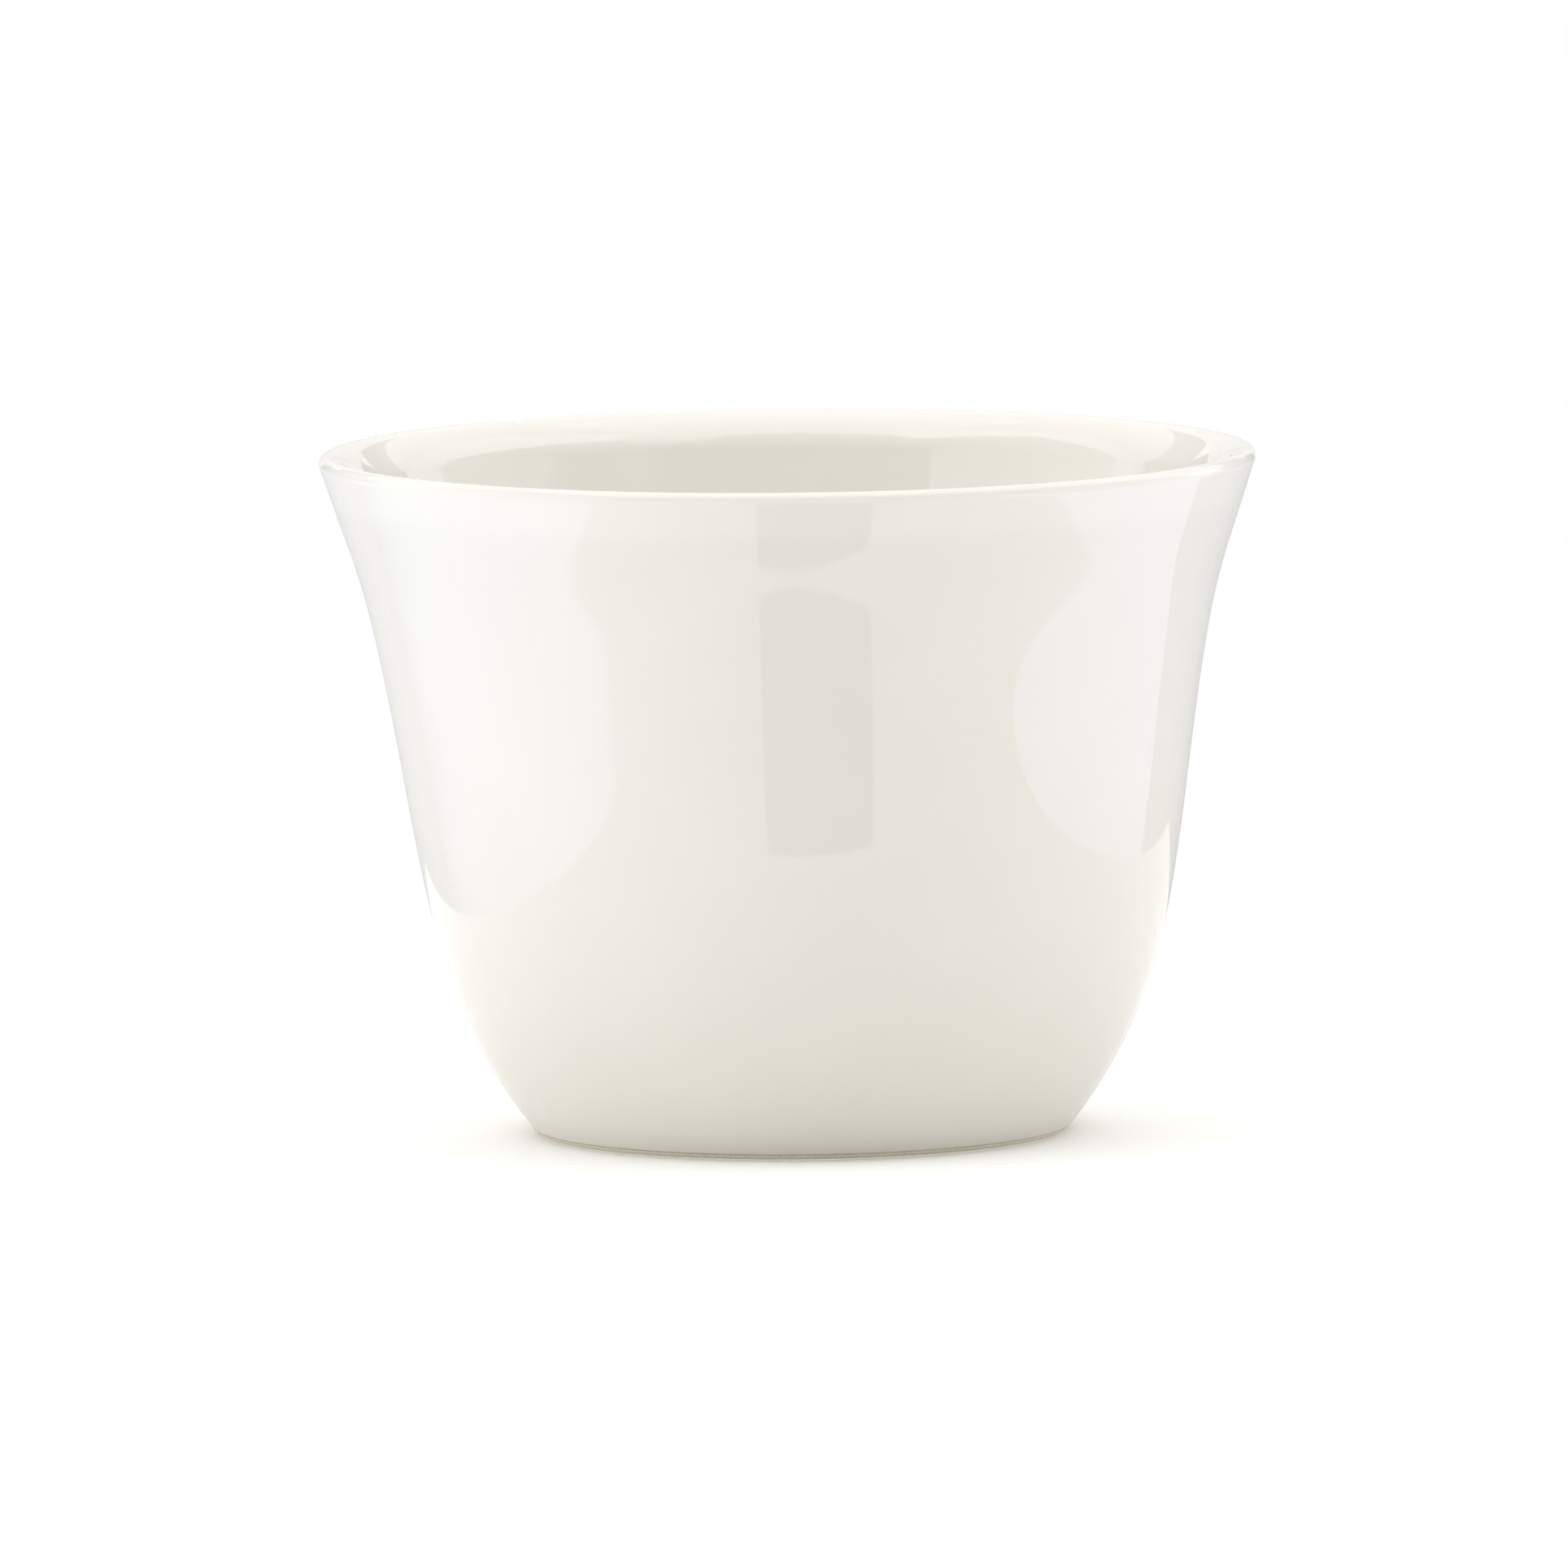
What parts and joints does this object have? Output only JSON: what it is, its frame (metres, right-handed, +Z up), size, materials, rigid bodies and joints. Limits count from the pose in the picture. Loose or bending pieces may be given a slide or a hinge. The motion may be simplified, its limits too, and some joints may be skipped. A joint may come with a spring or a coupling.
{
  "type": "arabic coffee cup",
  "caption": "Small handleless porcelain coffee cup with a flared, fully rounded lip, bellied wall and recessed foot ring, in ivory gloss glaze.",
  "frame": {"origin": "centre of the standing face of the foot ring, on the cup's axis", "axes": "+Z up along the cup's axis, from foot to mouth; the cup is round, so X and Y are free"},
  "size_m": [0.065, 0.065, 0.0476],
  "materials": {
    "bare_porcelain": "unglazed, fine grit",
    "outside_glaze": "high gloss ivory glaze",
    "lining_glaze": "high gloss ivory glaze"
  },
  "bodies": {
    "root": {"porcelain_body": "bare_porcelain", "outer_glaze": "outside_glaze", "lining_glaze": "lining_glaze", "foot_recess_glaze": "outside_glaze"}
  },
  "joints": []
}
